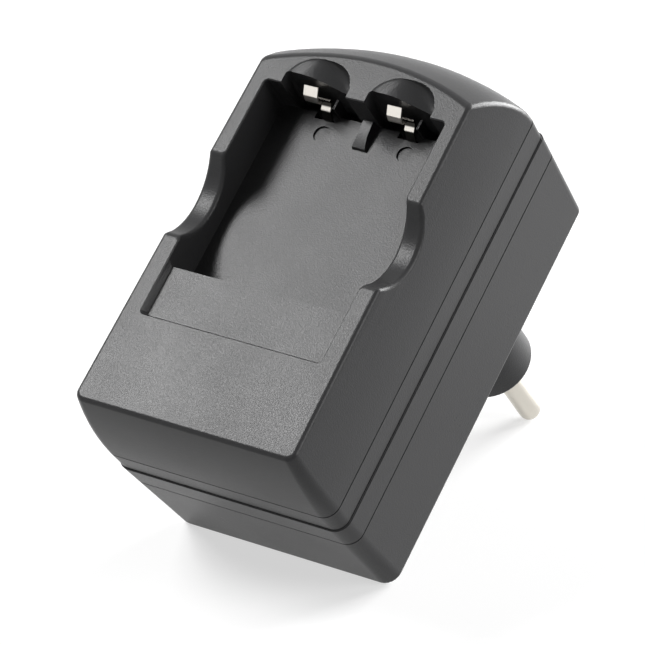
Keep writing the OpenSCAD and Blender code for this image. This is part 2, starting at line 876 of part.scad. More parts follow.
// Choke wound on a spool that stands on the board
module input_choke() color([0.55, 0.3, 0.12]) placed() {
    flange = 1.2;
    waist_r = choke_r - 0.8;
    translate([column_x, core_y + 12, board_rear_z])
        rotate([180, 0, 0])
            rotate_extrude($fn = 64)
                polygon([
                    [0, 0],
                    [choke_r, 0],
                    [choke_r, flange],
                    [waist_r, flange],
                    [waist_r, choke_h - flange],
                    [choke_r, choke_h - flange],
                    [choke_r, choke_h],
                    [0, choke_h]
                ]);
}

module switch_controller() color([0.1, 0.1, 0.1]) placed() block(column_x, core_y - 4, switch_size);

module optocoupler() color([0.92, 0.92, 0.9]) placed() block(0, plug_y - 7.5, coupler_size);

module safety_capacitor() color([0.15, 0.35, 0.7]) placed() {
    translate([0, plug_y, board_rear_z - disc_r])
        rotate([90, 0, 0]) cylinder(r = disc_r, h = disc_t, center = true);
}

module output_diode() color([0.1, 0.1, 0.1]) placed()
    block(0, board_top_y - diode_size[1] - 1.5, diode_size);

// The one component on the board's front side
module charge_controller() color([0.1, 0.1, 0.1]) placed() {
    translate([-controller_size[0] / 2, plug_y - controller_size[1] - 1, board_front_z])
        cube(controller_size);
}

// Self-tapping screws that clamp the board between the two halves
module case_screws() color([0.7, 0.7, 0.72]) placed() {
    for (place = post_places)
        translate([place[0], place[1], 0]) {
            difference() {
                translate([0, 0, post_head_z - screw_head_h]) cylinder(r = screw_head_r, h = screw_head_h);
                for (turn = [0, 90])
                    translate([0, 0, post_head_z - screw_head_h]) rotate([0, 0, turn])
                        cube([2.6, 0.6, 1.4], center = true);
            }
            translate([0, 0, post_head_z - eps])
                cylinder(r = screw_r, h = board_front_z + screw_reach - post_head_z);
        }
}

front_cover();
rear_housing();
plug_pin_left();
plug_pin_right();
pin_retainer();
pin_strap_left();
pin_strap_right();
contact_spring_left();
contact_spring_right();
circuit_board();
transformer_core();
transformer_bobbin();
transformer_winding();
input_capacitor();
output_capacitor();
bridge_rectifier();
mains_fuse();
input_choke();
switch_controller();
optocoupler();
safety_capacitor();
output_diode();
charge_controller();
case_screws();
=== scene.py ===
"""Looks of a plug-in battery charger that rests on the lower edge of its case and on its pins."""

import json
import logging
import math
from dataclasses import dataclass
from enum import Enum
from typing import Any, Sequence

import bmesh
import bpy
from mathutils import Matrix, Vector


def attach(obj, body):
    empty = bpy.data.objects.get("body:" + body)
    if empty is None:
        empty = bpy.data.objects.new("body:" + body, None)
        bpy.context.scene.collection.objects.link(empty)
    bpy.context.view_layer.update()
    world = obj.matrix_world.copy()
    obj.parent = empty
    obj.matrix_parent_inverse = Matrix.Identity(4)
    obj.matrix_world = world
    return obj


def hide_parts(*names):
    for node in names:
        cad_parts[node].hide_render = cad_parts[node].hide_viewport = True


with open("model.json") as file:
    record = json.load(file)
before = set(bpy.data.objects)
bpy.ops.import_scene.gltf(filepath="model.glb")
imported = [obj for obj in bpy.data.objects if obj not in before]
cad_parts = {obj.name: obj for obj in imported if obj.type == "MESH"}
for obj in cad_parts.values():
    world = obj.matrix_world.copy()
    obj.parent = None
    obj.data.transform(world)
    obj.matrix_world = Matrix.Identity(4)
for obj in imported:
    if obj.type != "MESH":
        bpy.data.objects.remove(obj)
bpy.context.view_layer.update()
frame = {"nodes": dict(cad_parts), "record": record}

MM = 0.001
# Distance in millimetres of each contact pocket's middle from the centre line
POCKET_X = 8.6
log = logging.getLogger("charger")

Colour = tuple[float, float, float]
Points = Sequence[tuple[float, float]]


class Grain(Enum):
    """How a moulded surface was textured in its mould: cells per metre and depth of the relief."""

    SPARKED = (3600.0, 0.5)
    SATIN = (9000.0, 0.3)
    SMOOTH = (9000.0, 0.06)


class CaseAxes:
    """The case's own axes, found from the two plug pins' mounts.

    Points in case axes are in millimetres: X across, Y from the lower end to the contact
    end and Z out of the front face, from the rear face.
    """

    PLUG_Y = 53.2
    PIN_MIDDLE_Z = -26.0

    def __init__(self, mounts: Sequence[dict[str, Any]]) -> None:
        """Reads the pins' axis and place.

        Args:
            mounts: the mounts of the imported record.
        """
        pins = {m["name"]: m for m in mounts if m["kind"] == "pin"}
        left, right = pins["plug_pin_left"], pins["plug_pin_right"]
        away = Vector(left["axis"]).normalized()
        self.tilt = math.atan2(away.y, -away.z)
        self.turn = Matrix.Rotation(self.tilt, 4, "X")
        middle = (Vector(left["pos_m"]) + Vector(right["pos_m"])) / 2
        local = Vector((0.0, self.PLUG_Y * MM, self.PIN_MIDDLE_Z * MM))
        self.matrix = Matrix.Translation(middle - self.turn @ local) @ self.turn

    def point(self, x: float, y: float, z: float) -> Vector:
        """Returns a case point, given in millimetres, in the row frame in metres."""
        return self.matrix @ Vector((x * MM, y * MM, z * MM))

    def way(self, x: float, y: float, z: float) -> Vector:
        """Returns a case direction in the row frame."""
        return (self.turn.to_3x3() @ Vector((x, y, z))).normalized()


class TreeBuilder:
    """Adds nodes and links to one node tree."""

    def __init__(self, tree: bpy.types.NodeTree) -> None:
        """Keeps the tree that is built."""
        self.tree = tree

    def add(self, kind: str, values: dict[Any, Any] | None = None, **settings: Any) -> bpy.types.Node:
        """Adds a node.

        Args:
            kind: type name of the node.
            values: input name or index to its value.
            settings: properties of the node itself.

        Returns:
            The new node.
        """
        node = self.tree.nodes.new(kind)
        for name, value in settings.items():
            setattr(node, name, value)
        for key, value in (values or {}).items():
            node.inputs[key].default_value = value
        return node

    def join(self, source: bpy.types.NodeSocket, target: bpy.types.NodeSocket) -> None:
        """Links an output to an input."""
        self.tree.links.new(source, target)

    def sockets(self, inputs: dict[str, tuple[str, Any]], outputs: dict[str, str]) -> tuple[Any, Any]:
        """Names the tree's own inputs and outputs.

        Args:
            inputs: socket name to its type and default.
            outputs: socket name to its type.

        Returns:
            The group's input node and its output node.
        """
        for name, (kind, default) in inputs.items():
            made = self.tree.interface.new_socket(name, in_out="INPUT", socket_type=kind)
            if default is not None:
                made.default_value = default
        for name, kind in outputs.items():
            self.tree.interface.new_socket(name, in_out="OUTPUT", socket_type=kind)
        return self.add("NodeGroupInput"), self.add("NodeGroupOutput")


class SurfaceGroups:
    """Shader node groups that more than one material uses."""

    def __init__(self, axes: CaseAxes) -> None:
        """Builds every group once.

        Args:
            axes: the case's axes.
        """
        self.grain = self._grain()
        self.smudge = self._smudge()
        self.drawn = self._drawn()
        self.beyond = self._beyond(axes)

    @staticmethod
    def _beyond(axes: CaseAxes) -> bpy.types.NodeTree:
        """Builds a mask that is one above a height and before a depth of the case.

        Args:
            axes: the case's axes.

        Returns:
            The group's tree.
        """
        build = TreeBuilder(bpy.data.node_groups.new("above_and_before", "ShaderNodeTree"))
        start, end = build.sockets(
            {
                "Vector": ("NodeSocketVector", None),
                "Above": ("NodeSocketFloat", 0.0),
                "Before": ("NodeSocketFloat", 0.0),
                "Soft": ("NodeSocketFloat", 0.0002),
            },
            {"Mask": "NodeSocketFloat"},
        )
        origin = axes.point(0.0, 0.0, 0.0)
        masks = []
        for way, limit, sign in (((0, 0, 1), "Above", 1.0), ((0, 1, 0), "Before", -1.0)):
            from_origin = build.add("ShaderNodeVectorMath", {1: origin}, operation="SUBTRACT")
            along = build.add("ShaderNodeVectorMath", {1: axes.way(*way) * sign}, operation="DOT_PRODUCT")
            bound = build.add("ShaderNodeMath", {1: sign}, operation="MULTIPLY")
            past = build.add("ShaderNodeMath", operation="SUBTRACT")
            share = build.add("ShaderNodeMath", operation="DIVIDE", use_clamp=True)
            build.join(start.outputs["Vector"], from_origin.inputs[0])
            build.join(from_origin.outputs["Vector"], along.inputs[0])
            build.join(start.outputs[limit], bound.inputs[0])
            build.join(along.outputs["Value"], past.inputs[0])
            build.join(bound.outputs[0], past.inputs[1])
            build.join(past.outputs[0], share.inputs[0])
            build.join(start.outputs["Soft"], share.inputs[1])
            masks.append(share)
        both = build.add("ShaderNodeMath", operation="MULTIPLY")
        build.join(masks[0].outputs[0], both.inputs[0])
        build.join(masks[1].outputs[0], both.inputs[1])
        build.join(both.outputs[0], end.inputs["Mask"])
        return build.tree

    @staticmethod
    def _grain() -> bpy.types.NodeTree:
        """Builds fine mould grain: a height, a tone round one and a spot value round nought.

        Returns:
            The group's tree.
        """
        build = TreeBuilder(bpy.data.node_groups.new("mould_grain", "ShaderNodeTree"))
        start, end = build.sockets(
            {
                "Vector": ("NodeSocketVector", None),
                "Scale": ("NodeSocketFloat", 4000.0),
                "Tone": ("NodeSocketFloat", 0.1),
            },
            {"Height": "NodeSocketFloat", "Tone": "NodeSocketFloat", "Spot": "NodeSocketFloat"},
        )
        noise = build.add("ShaderNodeTexNoise", {"Detail": 2.0, "Roughness": 0.6})
        cells = build.add("ShaderNodeTexVoronoi")
        relief = build.add("ShaderNodeMath", operation="ADD")
        centred = build.add("ShaderNodeMath", {1: 0.5}, operation="SUBTRACT")
        tone = build.add("ShaderNodeMath", {2: 1.0}, operation="MULTIPLY_ADD")
        for texture in (noise, cells):
            build.join(start.outputs["Vector"], texture.inputs["Vector"])
            build.join(start.outputs["Scale"], texture.inputs["Scale"])
        build.join(noise.outputs["Fac"], relief.inputs[0])
        build.join(cells.outputs["Distance"], relief.inputs[1])
        build.join(relief.outputs[0], end.inputs["Height"])
        build.join(noise.outputs["Fac"], centred.inputs[0])
        build.join(centred.outputs[0], end.inputs["Spot"])
        build.join(centred.outputs[0], tone.inputs[0])
        build.join(start.outputs["Tone"], tone.inputs[1])
        build.join(tone.outputs[0], end.inputs["Tone"])
        return build.tree

    @staticmethod
    def _smudge() -> bpy.types.NodeTree:
        """Builds broad soft smudges as a value round nought.

        Returns:
            The group's tree.
        """
        build = TreeBuilder(bpy.data.node_groups.new("soft_smudge", "ShaderNodeTree"))
        start, end = build.sockets(
            {"Vector": ("NodeSocketVector", None), "Scale": ("NodeSocketFloat", 60.0)},
            {"Value": "NodeSocketFloat"},
        )
        noise = build.add("ShaderNodeTexNoise", {"Detail": 4.0})
        centred = build.add("ShaderNodeMath", {1: 0.5}, operation="SUBTRACT")
        build.join(start.outputs["Vector"], noise.inputs["Vector"])
        build.join(start.outputs["Scale"], noise.inputs["Scale"])
        build.join(noise.outputs["Fac"], centred.inputs[0])
        build.join(centred.outputs[0], end.inputs["Value"])
        return build.tree

    @staticmethod
    def _drawn() -> bpy.types.NodeTree:
        """Builds the fine marks that drawing or rolling leaves on metal, as a height.

        Returns:
            The group's tree.
        """
        build = TreeBuilder(bpy.data.node_groups.new("drawn_marks", "ShaderNodeTree"))
        start, end = build.sockets(
            {
                "Vector": ("NodeSocketVector", None),
                "Scale": ("NodeSocketFloat", 2500.0),
                "Stretch": ("NodeSocketVector", (1.0, 0.1, 0.1)),
            },
            {"Height": "NodeSocketFloat"},
        )
        longer = build.add("ShaderNodeVectorMath", operation="MULTIPLY")
        noise = build.add("ShaderNodeTexNoise", {"Detail": 2.0, "Roughness": 0.5})
        build.join(start.outputs["Vector"], longer.inputs[0])
        build.join(start.outputs["Stretch"], longer.inputs[1])
        build.join(longer.outputs["Vector"], noise.inputs["Vector"])
        build.join(start.outputs["Scale"], noise.inputs["Scale"])
        build.join(noise.outputs["Fac"], end.inputs["Height"])
        return build.tree


def new_material(name: str) -> tuple[bpy.types.Material, TreeBuilder, bpy.types.Node]:
    """Makes a node material with one Principled shader.

    Args:
        name: name of the material.

    Returns:
        The material, a builder for its node tree and its Principled node.
    """
    material = bpy.data.materials.new(name)
    material.use_nodes = True
    return material, TreeBuilder(material.node_tree), material.node_tree.nodes["Principled BSDF"]


@dataclass(frozen=True)
class PlasticFinish:
    """A moulded plastic, resin, glaze or laminate.

    Attributes:
        name: material slot of the record.
        colour: linear base colour.
        roughness: middle roughness.
        grain: texture of the mould.
        specular: specular level.
        tone: how far the grain moves the colour.
        blotch: how far broad smudges move the roughness.
        sparkle: how far the grain moves the roughness.
        smudge_scale: smudges per metre.
        relief: height of the grain in metres at full strength.
    """

    name: str
    colour: Colour
    roughness: float
    grain: Grain = Grain.SATIN
    specular: float = 0.5
    tone: float = 0.25
    blotch: float = 0.1
    sparkle: float = 0.2
    smudge_scale: float = 70.0
    relief: float = 0.00003

    def make(self, groups: SurfaceGroups) -> bpy.types.Material:
        """Makes the material.

        Args:
            groups: the shared shader groups.

        Returns:
            The material.
        """
        material, build, shader = new_material(self.name)
        scale, depth = self.grain.value
        place = build.add("ShaderNodeTexCoord")
        grain = build.add("ShaderNodeGroup", node_tree=groups.grain)
        grain.inputs["Scale"].default_value = scale
        grain.inputs["Tone"].default_value = self.tone
        smudge = build.add("ShaderNodeGroup", node_tree=groups.smudge)
        smudge.inputs["Scale"].default_value = self.smudge_scale
        relief = build.add("ShaderNodeBump", {"Strength": depth, "Distance": self.relief})
        tint = build.add("ShaderNodeVectorMath", {0: self.colour}, operation="SCALE")
        rough = build.add("ShaderNodeMath", {1: self.blotch, 2: self.roughness}, operation="MULTIPLY_ADD")
        spotted = build.add("ShaderNodeMath", {1: self.sparkle}, operation="MULTIPLY_ADD")
        build.join(place.outputs["Object"], grain.inputs["Vector"])
        build.join(place.outputs["Object"], smudge.inputs["Vector"])
        build.join(grain.outputs["Height"], relief.inputs["Height"])
        build.join(relief.outputs["Normal"], shader.inputs["Normal"])
        build.join(grain.outputs["Tone"], tint.inputs["Scale"])
        build.join(tint.outputs["Vector"], shader.inputs["Base Color"])
        build.join(smudge.outputs["Value"], rough.inputs[0])
        build.join(grain.outputs["Spot"], spotted.inputs[0])
        build.join(rough.outputs[0], spotted.inputs[2])
        build.join(spotted.outputs[0], shader.inputs["Roughness"])
        shader.inputs["Specular IOR Level"].default_value = self.specular
        return material


@dataclass(frozen=True)
class MetalFinish:
    """A plated or plain metal.

    Attributes:
        name: material slot of the record.
        colour: linear base colour.
        roughness: middle roughness.
        blotch: how far smudges move the roughness.
        stretch: how the drawing marks are stretched along each axis.
        depth: strength of the drawing marks.
        pit_shade_colour: painted shade, a dark colour painted where the strip lies in the shade of its
            pocket, or None.
        unshaded_zones: zones that keep the plain colour outside the painted shade, each above a height
            and before a depth in millimetres.
        smudge_scale: smudges per metre.
        mark_scale: drawing marks per metre.
        relief: height of the marks in metres at full strength.
    """

    name: str
    colour: Colour
    roughness: float
    blotch: float = 0.12
    stretch: tuple[float, float, float] = (1.0, 0.1, 0.1)
    depth: float = 0.1
    pit_shade_colour: Colour | None = None
    unshaded_zones: tuple[tuple[float, float], ...] = ()
    smudge_scale: float = 260.0
    mark_scale: float = 2600.0
    relief: float = 0.00002

    def make(self, groups: SurfaceGroups) -> bpy.types.Material:
        """Makes the material.

        Args:
            groups: the shared shader groups.

        Returns:
            The material.
        """
        material, build, shader = new_material(self.name)
        place = build.add("ShaderNodeTexCoord")
        smudge = build.add("ShaderNodeGroup", node_tree=groups.smudge)
        smudge.inputs["Scale"].default_value = self.smudge_scale
        marks = build.add("ShaderNodeGroup", node_tree=groups.drawn)
        marks.inputs["Scale"].default_value = self.mark_scale
        marks.inputs["Stretch"].default_value = self.stretch
        relief = build.add("ShaderNodeBump", {"Strength": self.depth, "Distance": self.relief})
        rough = build.add("ShaderNodeMath", {1: self.blotch, 2: self.roughness}, operation="MULTIPLY_ADD")
        build.join(place.outputs["Object"], smudge.inputs["Vector"])
        build.join(place.outputs["Object"], marks.inputs["Vector"])
        build.join(marks.outputs["Height"], relief.inputs["Height"])
        build.join(relief.outputs["Normal"], shader.inputs["Normal"])
        build.join(smudge.outputs["Value"], rough.inputs[0])
        build.join(rough.outputs[0], shader.inputs["Roughness"])
        shader.inputs["Base Color"].default_value = (*self.colour, 1.0)
        shader.inputs["Metallic"].default_value = 1.0
        # Painted shade: where the zone mask is nought, the base colour is mixed to a dark colour that
        # stands in for the shade in the pocket.
        if self.pit_shade_colour:
            tint = build.add(
                "ShaderNodeMix", {6: (*self.pit_shade_colour, 1.0), 7: (*self.colour, 1.0)}, data_type="RGBA"
            )
            build.join(self._unshaded_mask(build, place, groups), tint.inputs[0])
            build.join(tint.outputs[2], shader.inputs["Base Color"])
        return material

    def _unshaded_mask(
        self, build: TreeBuilder, place: bpy.types.Node, groups: SurfaceGroups
    ) -> bpy.types.NodeSocket:
        """Adds the mask of the zones that keep the plain colour; everywhere else gets the painted shade.

        Args:
            build: the builder of the material.
            place: the material's texture coordinate node.
            groups: the shared shader groups.

        Returns:
            The mask's output.
        """
        unshaded = None
        for above, before in self.unshaded_zones:
            zone = build.add("ShaderNodeGroup", node_tree=groups.beyond)
            zone.inputs["Above"].default_value = above * MM
            zone.inputs["Before"].default_value = before * MM
            either = build.add("ShaderNodeMath", {1: 0.0}, operation="MAXIMUM")
            build.join(place.outputs["Object"], zone.inputs["Vector"])
            build.join(zone.outputs["Mask"], either.inputs[0])
            if unshaded:
                build.join(unshaded, either.inputs[1])
            unshaded = either.outputs[0]
        return unshaded


PLASTICS = (
    PlasticFinish("cover_plastic", (0.030, 0.030, 0.031), 0.33, Grain.SPARKED, specular=0.2),
    PlasticFinish("housing_plastic", (0.030, 0.030, 0.031), 0.33, Grain.SPARKED, specular=0.2),
    PlasticFinish("retainer_plastic", (0.80, 0.78, 0.70), 0.45),
    PlasticFinish("board_laminate", (0.02, 0.11, 0.045), 0.3, Grain.SMOOTH),
    PlasticFinish("component_black", (0.02, 0.02, 0.02), 0.4),
    PlasticFinish("winding_tape", (0.55, 0.22, 0.04), 0.35, Grain.SMOOTH),
    PlasticFinish("capacitor_sleeve", (0.03, 0.04, 0.14), 0.25, Grain.SMOOTH),
    PlasticFinish("fuse_ceramic", (0.75, 0.74, 0.66), 0.3, Grain.SMOOTH),
    PlasticFinish("capacitor_resin", (0.03, 0.16, 0.45), 0.3, Grain.SMOOTH),
)
METALS = (
    MetalFinish("pin_plating", (0.62, 0.59, 0.53), 0.34, stretch=(1.0, 1.0, 1.0)),
    MetalFinish(
        "spring_plating",
        (0.86, 0.82, 0.76),
        0.3,
        # Painted shade: the strip's tail, shoulder and lower leaf get a dark colour for the pocket's
        # shade; only the leaf's upper part and the small bar keep the plated colour.
        pit_shade_colour=(0.035, 0.033, 0.03),
        unshaded_zones=((40.65, 80.0), (38.7, 67.4)),
    ),
    MetalFinish("strap_brass", (0.72, 0.53, 0.22), 0.35),
    MetalFinish("ferrite", (0.09, 0.09, 0.095), 0.7, stretch=(1.0, 1.0, 1.0)),
    MetalFinish("screw_steel", (0.50, 0.50, 0.51), 0.32),
)


class Finishes:
    """Every material of the record's slots."""

    def __init__(self, axes: CaseAxes) -> None:
        """Makes each finish once and reads which slot each CAD node takes.

        Args:
            axes: the case's axes.
        """
        groups = SurfaceGroups(axes)
        self.made = {f.name: f.make(groups) for f in (*PLASTICS, *METALS)}
        self.slots = {s["node"]: s["material_slot"] for s in frame["record"]["subparts"]}

    def of(self, node: str) -> bpy.types.Material:
        """Returns the material of a CAD node's slot."""
        return self.made[self.slots[node]]

    def dress(self, piece: bpy.types.Object, node: str) -> None:
        """Gives a piece the material of a CAD node's slot in all its own slots.

        Args:
            piece: the piece to dress.
            node: the CAD node whose slot is taken.
        """
        mesh = piece.data
        if not mesh.materials:
            mesh.materials.append(self.of(node))
        for index in range(len(mesh.materials)):
            mesh.materials[index] = self.of(node)


def place_piece(piece: bpy.types.Object, node: str, stands_for: bool) -> None:
    """Lets a finished piece ride on the root body.

    Args:
        piece: the finished piece.
        node: the CAD node that it belongs to.
        stands_for: whether the piece replaces the node.
    """
    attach(piece, "root")
    if stands_for:
        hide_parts(node)


@dataclass
class MouldedShell:
    """One half of the case, with its small facets smoothed.

    Attributes:
        node: the CAD node of the half.
        sharp_degrees: angle above which an edge stays sharp.
        weld: distance in metres at which loose corners are joined.
        flat_degrees: angle below which neighbouring faces become one.
        area_share: how much the shading follows the larger faces, in per cent.
    """

    node: str
    sharp_degrees: float = 32.0
    weld: float = 2e-6
    flat_degrees: float = 0.2
    area_share: int = 80

    def _merged(self) -> bpy.types.Mesh:
        """Copies the node's mesh, joins its corners and marks its creases.

        Returns:
            The joined copy.
        """
        mesh = frame["nodes"][self.node].data.copy()
        mesh.name = self.node + "_shell"
        work = bmesh.new()
        work.from_mesh(mesh)
        bmesh.ops.remove_doubles(work, verts=work.verts, dist=self.weld)
        bmesh.ops.dissolve_degenerate(work, dist=self.weld / 2, edges=work.edges)
        bmesh.ops.dissolve_limit(
            work,
            angle_limit=math.radians(self.flat_degrees),
            use_dissolve_boundaries=False,
            verts=work.verts,
            edges=work.edges,
            delimit={"NORMAL"},
        )
        limit = math.radians(self.sharp_degrees)
        for face in work.faces:
            face.smooth = True
        for edge in work.edges:
            if len(edge.link_faces) == 2:
                edge.smooth = edge.calc_face_angle(0.0) < limit
        work.to_mesh(mesh)
        work.free()
        return mesh

    def build(self, finishes: Finishes) -> bpy.types.Object:
        """Builds and dresses the half, which then stands for its node.

        Args:
            finishes: the materials.

        Returns:
            The finished piece.
        """
        piece = bpy.data.objects.new(self.node + "_shell", self._merged())
        bpy.context.scene.collection.objects.link(piece)
        even = piece.modifiers.new("even_shading", "WEIGHTED_NORMAL")
        even.keep_sharp = True
        even.weight = self.area_share
        finishes.dress(piece, self.node)
        place_piece(piece, self.node, stands_for=True)
        return piece


class RuleTree:
    """A Geometry Nodes tree that turns a small guide mesh into a finished piece."""

    def __init__(self, name: str, sizes: dict[str, tuple[str, Any]]) -> None:
        """Opens the tree with a guide, its sizes and a material.

        Args:
            name: name of the tree.
            sizes: input name to its socket type and default.
        """
        self.build = TreeBuilder(bpy.data.node_groups.new(name, "GeometryNodeTree"))
        inputs = {"Guide": ("NodeSocketGeometry", None), **sizes, "Finish": ("NodeSocketMaterial", None)}
        self.start, self.end = self.build.sockets(inputs, {"Piece": "NodeSocketGeometry"})

    def size(self, name: str) -> bpy.types.NodeSocket:
        """Returns the socket of a named input."""
        return self.start.outputs[name]

    def close(self, shape: bpy.types.NodeSocket) -> None:
        """Ends the tree in Realize Instances and Set Material.

        Args:
            shape: the output that carries the finished shape.
        """
        real = self.build.add("GeometryNodeRealizeInstances")
        paint = self.build.add("GeometryNodeSetMaterial")
        self.build.join(shape, real.inputs["Geometry"])
        self.build.join(real.outputs["Geometry"], paint.inputs["Geometry"])
        self.build.join(self.size("Finish"), paint.inputs["Material"])
        self.build.join(paint.outputs["Geometry"], self.end.inputs["Piece"])

    def bake(self, guide: bpy.types.Mesh, values: dict[str, Any]) -> bpy.types.Mesh:
        """Runs the tree on a guide.

        Args:
            guide: the guide mesh.
            values: input name to its value.

        Returns:
            The plain mesh that the tree makes.
        """
        source = bpy.data.objects.new(guide.name, guide)
        bpy.context.scene.collection.objects.link(source)
        modifier = source.modifiers.new(self.build.tree.name, "NODES")
        modifier.node_group = self.build.tree
        for item in self.build.tree.interface.items_tree:
            if item.in_out == "INPUT" and item.name in values:
                modifier[item.identifier] = values[item.name]
        graph = bpy.context.evaluated_depsgraph_get()
        made = bpy.data.meshes.new_from_object(source.evaluated_get(graph), depsgraph=graph)
        source.modifiers.remove(modifier)
        bpy.data.objects.remove(source)
        return made


def strip_tree() -> RuleTree:
    """Builds the tree of a bent strip: a path with rounded bends, made wide and then thick.

    Returns:
        The tree.
    """
    rule = RuleTree(
        "bent_strip",
        {
            "Bend": ("NodeSocketFloat", 0.0003),
            "Across": ("NodeSocketVector", (0.003, 0.0, 0.0)),
            "Thickness": ("NodeSocketFloat", 0.0003),
        },
    )
    build = rule.build
    curve = build.add("GeometryNodeMeshToCurve")
    bend = build.add("GeometryNodeFilletCurve", {"Limit Radius": True, "Count": 5}, mode="POLY")
    line = build.add("GeometryNodeCurveToMesh")
    widen = build.add("GeometryNodeExtrudeMesh", {"Offset Scale": 1.0}, mode="EDGES")
    thicken = build.add("GeometryNodeExtrudeMesh", {"Individual": False}, mode="FACES")
    back = build.add("GeometryNodeFlipFaces")
    whole = build.add("GeometryNodeJoinGeometry")
    weld = build.add("GeometryNodeMergeByDistance", {"Distance": 1e-7})
    smooth = build.add("GeometryNodeSetShadeSmooth")
    build.join(rule.size("Guide"), curve.inputs["Mesh"])
    build.join(curve.outputs["Curve"], bend.inputs["Curve"])
    build.join(rule.size("Bend"), bend.inputs["Radius"])
    build.join(bend.outputs["Curve"], line.inputs["Curve"])
    build.join(line.outputs["Mesh"], widen.inputs["Mesh"])
    build.join(rule.size("Across"), widen.inputs["Offset"])
    build.join(widen.outputs["Mesh"], thicken.inputs["Mesh"])
    build.join(rule.size("Thickness"), thicken.inputs["Offset Scale"])
    build.join(widen.outputs["Mesh"], back.inputs["Mesh"])
    build.join(thicken.outputs["Mesh"], whole.inputs["Geometry"])
    build.join(back.outputs["Mesh"], whole.inputs["Geometry"])
    build.join(whole.outputs["Geometry"], weld.inputs["Geometry"])
    build.join(weld.outputs["Geometry"], smooth.inputs["Geometry"])
    rule.close(smooth.outputs["Geometry"])
    return rule


def joined(name: str, meshes: Sequence[bpy.types.Mesh], sharp_degrees: float) -> bpy.types.Object:
    """Joins meshes into one object with outward faces and sharp creases.

    Args:
        name: name of the new object.
        meshes: the meshes to join.
        sharp_degrees: angle above which an edge stays sharp.

    Returns:
        The object, linked to the scene.
    """
    work = bmesh.new()
    for mesh in meshes:
        work.from_mesh(mesh)
    bmesh.ops.recalc_face_normals(work, faces=work.faces)
    limit = math.radians(sharp_degrees)
    for face in work.faces:
        face.smooth = True
        face.material_index = 0
    for edge in work.edges:
        edge.smooth = len(edge.link_faces) == 2 and edge.calc_face_angle(0.0) < limit
    whole = bpy.data.meshes.new(name)
    work.to_mesh(whole)
    work.free()
    piece = bpy.data.objects.new(name, whole)
    bpy.context.scene.collection.objects.link(piece)
    return piece


@dataclass
class ContactSpring:
    """A leaf spring in its pocket, bent from one strip.

    Attributes:
        node: its CAD node.
        pocket_x: middle of its pocket across the case, in millimetres, as all sizes here.
        wall_y: the bay's upper wall.
        floor_z: the bay's floor.
        front_z: the case's front face.
        board_z: the board's front face.
        leaf: left edge and width of the leaf, from the pocket's middle.
        tail: left edge and width of the tail, from the pocket's middle.
        back_y: how far the spring's back lies behind the upper wall.
        thickness: thickness of the strip.
        bend: inner radius of its bends.
        foot: length of the tail's foot on the board.
        rise: height of the shoulder's lower edge above the bay's floor.
        shoulder: height of the shoulder.
        crease_degrees: angle above which an edge of the strip stays sharp.
    """

    node: str
    pocket_x: float
    wall_y: float = 67.1
    floor_z: float = 36.7
    front_z: float = 44.9
    board_z: float = 31.7
    leaf: tuple[float, float] = (-2.975, 2.85)
    tail: tuple[float, float] = (-0.8, 1.9)
    back_y: float = 1.2
    thickness: float = 0.3
    bend: float = 0.35
    foot: float = 2.4
    rise: float = 2.9
    shoulder: float = 0.9
    crease_degrees: float = 40.0

    def _paths(self) -> list[tuple[Points, float, float]]:
        """Lays out the strip's tail, shoulder and leaf.

        Returns:
            Each one's path in the case's Y and Z, its left edge and its width.
        """
        tail_y = self.wall_y - 0.9
        foot_z = self.board_z + self.thickness / 2
        back = self.wall_y + self.back_y
        edge = self.floor_z + self.rise
        knee_y, knee_z = self.wall_y - 0.13, self.front_z - 3.7
        tail = [
            (tail_y - self.foot, foot_z),
            (tail_y, foot_z),
            (tail_y, self.floor_z + 0.2),
            (tail_y + 0.7, self.floor_z + 1.95),
            (tail_y + 1.1, self.floor_z + 2.15),
            (back - 0.15, edge - 0.1),
            (back, edge + self.shoulder / 2),
        ]
        shoulder = [(back, edge), (back, edge + self.shoulder)]
        leaf = [
            (back, edge + self.shoulder / 2),
            (back - 0.15, edge + self.shoulder),
            (knee_y + 0.4, knee_z - 0.35),
            (knee_y, knee_z),
            (knee_y + 0.05, knee_z + 0.35),
            (knee_y + 0.35, knee_z + 1.2),
            (knee_y + 1.65, knee_z + 2.25),
        ]
        whole = self.tail[0] + self.tail[1] - self.leaf[0]
        return [(tail, *self.tail), (shoulder, self.leaf[0], whole), (leaf, *self.leaf)]

    def build(self, rule: RuleTree, axes: CaseAxes, finishes: Finishes) -> bpy.types.Object:
        """Builds and dresses the spring, which then stands for its node.

        Args:
            rule: the tree of a bent strip.
            axes: the case's axes.
            finishes: the materials.

        Returns:
            The finished piece.
        """
        strips = []
        for path, left, width in self._paths():
            guide = bpy.data.meshes.new(self.node + "_path")
            corners = [axes.point(self.pocket_x + left, y, z) for y, z in path]
            guide.from_pydata(corners, [(i, i + 1) for i in range(len(corners) - 1)], [])
            made = rule.bake(
                guide,
                {
                    "Bend": self.bend * MM,
                    "Across": (width * MM, 0.0, 0.0),
                    "Thickness": self.thickness * MM,
                    "Finish": finishes.of(self.node),
                },
            )
            made.transform(Matrix.Translation(self._shift(made)))
            strips.append(made)
        piece = joined(self.node + "_strip", strips, self.crease_degrees)
        finishes.dress(piece, self.node)
        place_piece(piece, self.node, stands_for=True)
        return piece

    def _shift(self, made: bpy.types.Mesh) -> Vector:
        """Returns the move that puts a strip's middle face back on its path."""
        first = made.polygons[0].normal
        return -first * self.thickness * MM / 2 if abs(first.x) < 0.5 else Vector()


